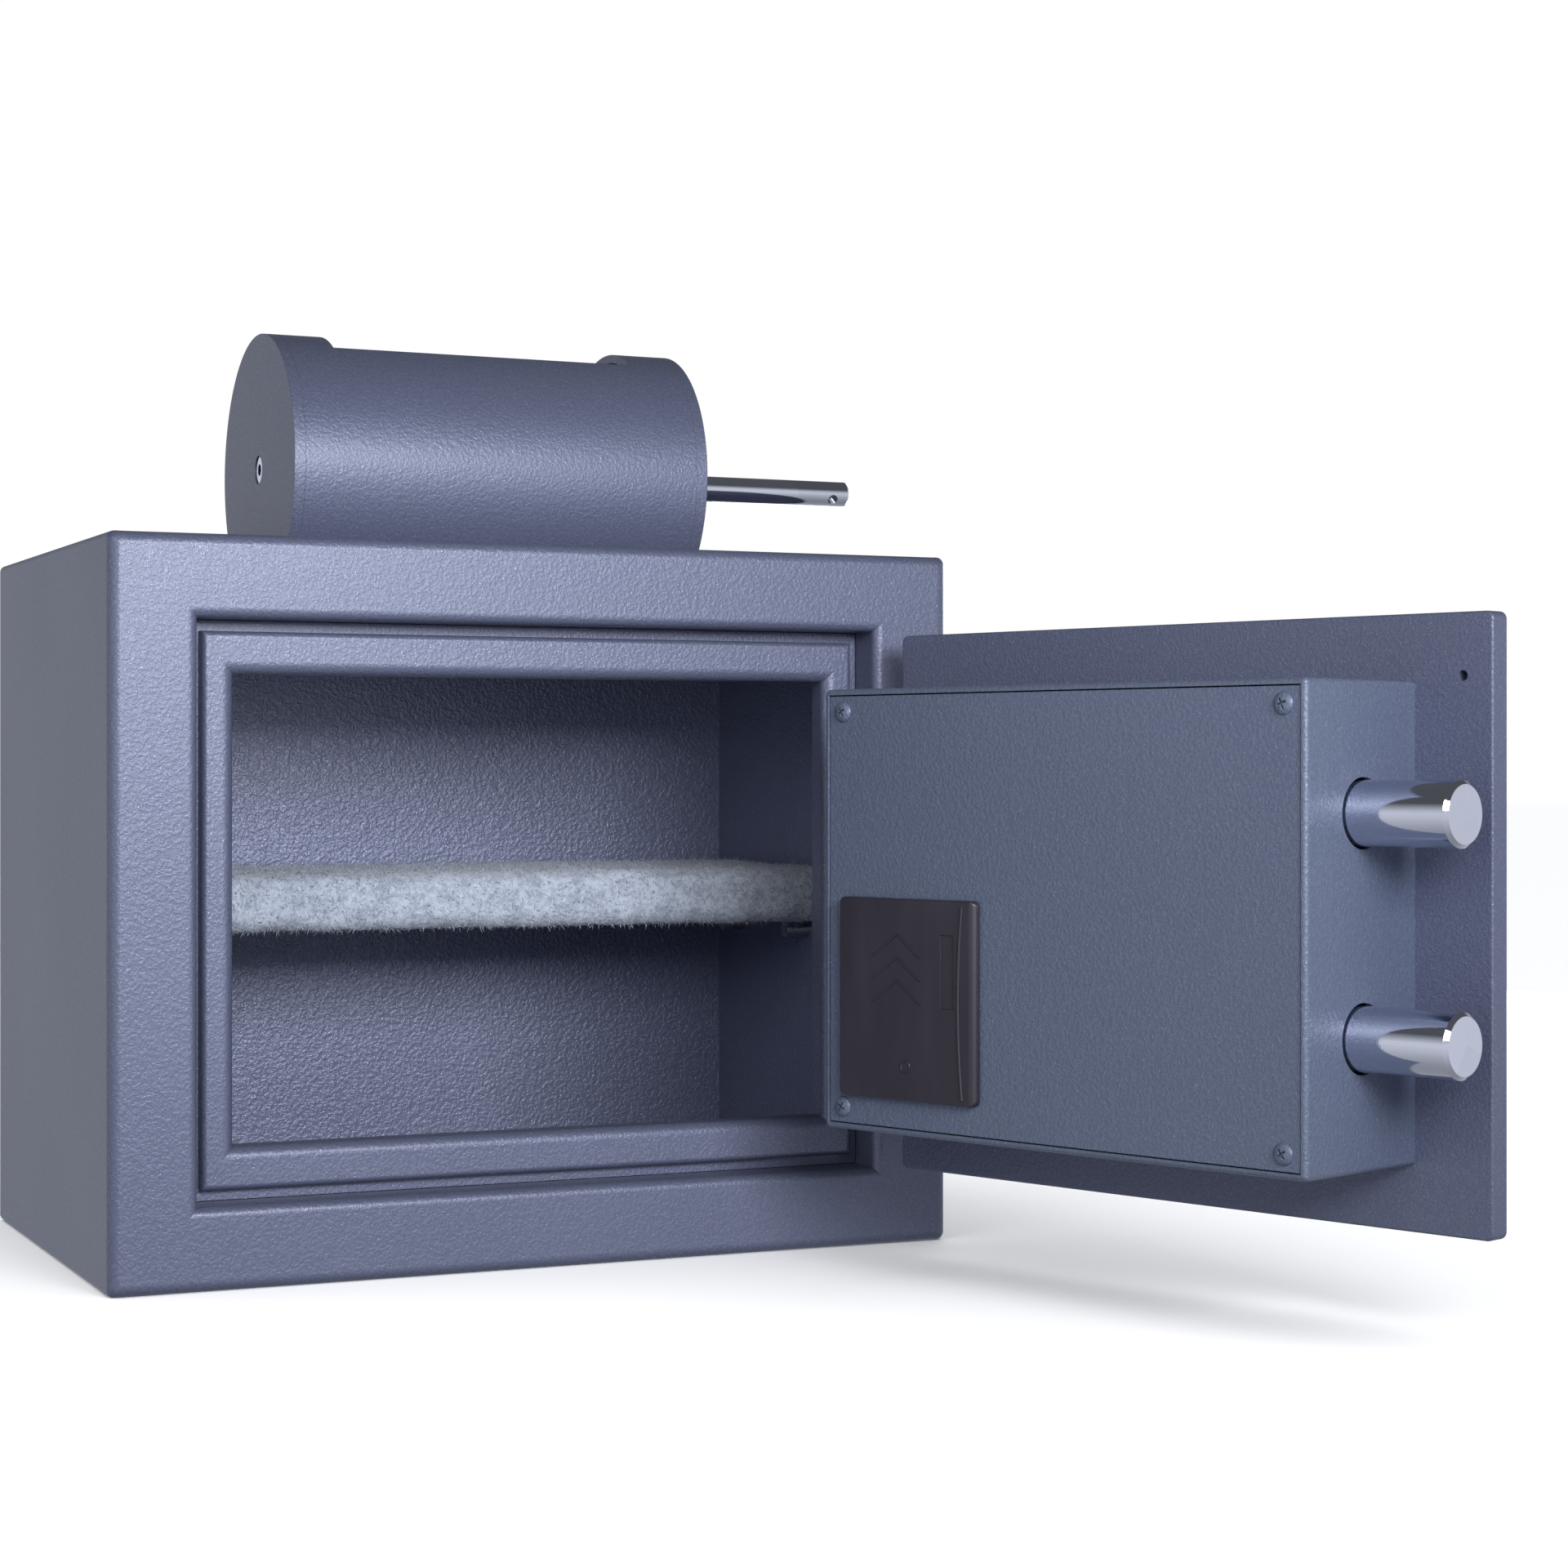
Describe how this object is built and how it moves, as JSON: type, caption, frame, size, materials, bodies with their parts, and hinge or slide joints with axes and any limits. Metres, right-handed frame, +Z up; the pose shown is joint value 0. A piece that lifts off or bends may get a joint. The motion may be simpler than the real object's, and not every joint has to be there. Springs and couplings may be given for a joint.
{
  "type": "rotary deposit safe",
  "caption": "Small deposit safe: double-walled steel cabinet, right-hinged door with sliding bolts, carpeted shelf and a rotary deposit drum on the roof.",
  "frame": {"origin": "centre of the cabinet's base on its underside", "axes": "+Z up, -Y out of the front, +X towards the hinge side and along the drum shaft"},
  "size_m": [0.4568, 0.5721, 0.4095],
  "materials": {
    "body_coat": "fine-textured blue-grey powder coat, semi-gloss",
    "casing_coat": "fine-textured blue-grey powder coat, semi-gloss",
    "inner_coat": "textured blue-grey powder coat",
    "barrier_filling": "rough cast light mineral filling",
    "shelf_pile": "light grey needle-felt carpet",
    "shelf_steel": "plain zinc-coated sheet",
    "plated_steel": "zinc-plated steel",
    "bright_chrome": "polished hard chrome",
    "bearing_bronze": "sintered bronze",
    "gloss_black": "moulded black plastic, semi-gloss",
    "matte_black": "moulded black plastic, matte",
    "key_rubber": "printed keypad membrane",
    "board_green": "circuit board with solder mask",
    "standoff_brass": "turned brass",
    "cell_jacket": "printed battery jacket, no lettering",
    "contact_nickel": "nickel-plated spring steel"
  },
  "bodies": {
    "cabinet": {"outer_shell": "body_coat", "rear_panel": "body_coat", "inner_liner": "inner_coat", "barrier_fill": "barrier_filling", "frame_fill": "barrier_filling", "frame_backing": "inner_coat", "door_stop_rim": "body_coat", "bolt_strike": "plated_steel", "strike_screws": "plated_steel", "shelf_board": "shelf_steel", "shelf_carpet": "shelf_pile", "shelf_studs": "plated_steel", "roof_chute": "inner_coat", "drum_housing": "body_coat", "housing_end_left": "body_coat", "housing_end_right": "body_coat", "drum_bush_left": "bearing_bronze", "drum_bush_right": "bearing_bronze", "housing_stop_pin": "plated_steel", "hinge_frame_halves": "body_coat", "hinge_pins": "plated_steel", "hinge_washers": "plated_steel"},
    "drum": {"rotor_scoop": "shelf_steel", "rotor_end_left": "shelf_steel", "rotor_end_right": "shelf_steel", "drum_shaft": "bright_chrome", "shaft_clip": "plated_steel", "drum_pivot_pin": "bright_chrome", "rotor_stop_lugs": "plated_steel"},
    "door": {"door_plate": "body_coat", "hinge_door_halves": "body_coat", "casing_walls": "casing_coat", "casing_cover": "casing_coat", "cover_posts": "plated_steel", "cover_screws": "casing_coat", "bolt_guide_outer": "plated_steel", "bolt_guide_inner": "plated_steel", "spindle_bush": "bearing_bronze", "knob_collar": "matte_black", "lock_motor": "matte_black", "battery_tray": "matte_black", "batteries": "cell_jacket", "battery_contacts": "contact_nickel", "keypad_housing": "matte_black", "keypad_membrane": "key_rubber", "circuit_board": "board_green", "board_standoffs": "standoff_brass"},
    "bolts": {"bolt_upper": "bright_chrome", "bolt_lower": "bright_chrome", "bolt_bar": "plated_steel", "bolt_bar_screws": "plated_steel"},
    "knob": {"turn_knob": "matte_black", "knob_spindle": "plated_steel", "cam_plate": "plated_steel", "cam_pin": "plated_steel"},
    "lock_pin": {"lock_pin": "plated_steel"},
    "battery_cover": {"battery_cover": "gloss_black"}
  },
  "joints": [
    {"name": "door_swing", "type": "hinge", "parent": "cabinet", "child": "door", "pos_m": [0.1645, -0.126, 0.155], "axis": [0, 0, 1], "range_deg": [-110, 60]},
    {"name": "drum_turn", "type": "hinge", "parent": "cabinet", "child": "drum", "pos_m": [0, 0, 0.3485], "axis": [1, 0, 0], "range_deg": [0, 180]},
    {"name": "bolt_throw", "type": "slide", "parent": "door", "child": "bolts", "axis": [-0.342, 0.9397, 0], "range_m": [0, 0.04]},
    {"name": "knob_turn", "type": "hinge", "parent": "door", "child": "knob", "pos_m": [0.21542, -0.28199, 0.155], "axis": [-0.9397, -0.342, 0], "range_deg": [0, 90.01]},
    {"name": "lock_pin_lift", "type": "slide", "parent": "door", "child": "lock_pin", "axis": [0, 0, 1], "range_m": [0, 0.006]},
    {"name": "battery_cover_slide", "type": "slide", "parent": "door", "child": "battery_cover", "axis": [0, 0, 1], "range_m": [0, 0.008]}
  ],
  "couplings": [
    {"joint": "knob_turn", "follows": "bolt_throw", "rad_per_m": 39.27}
  ]
}
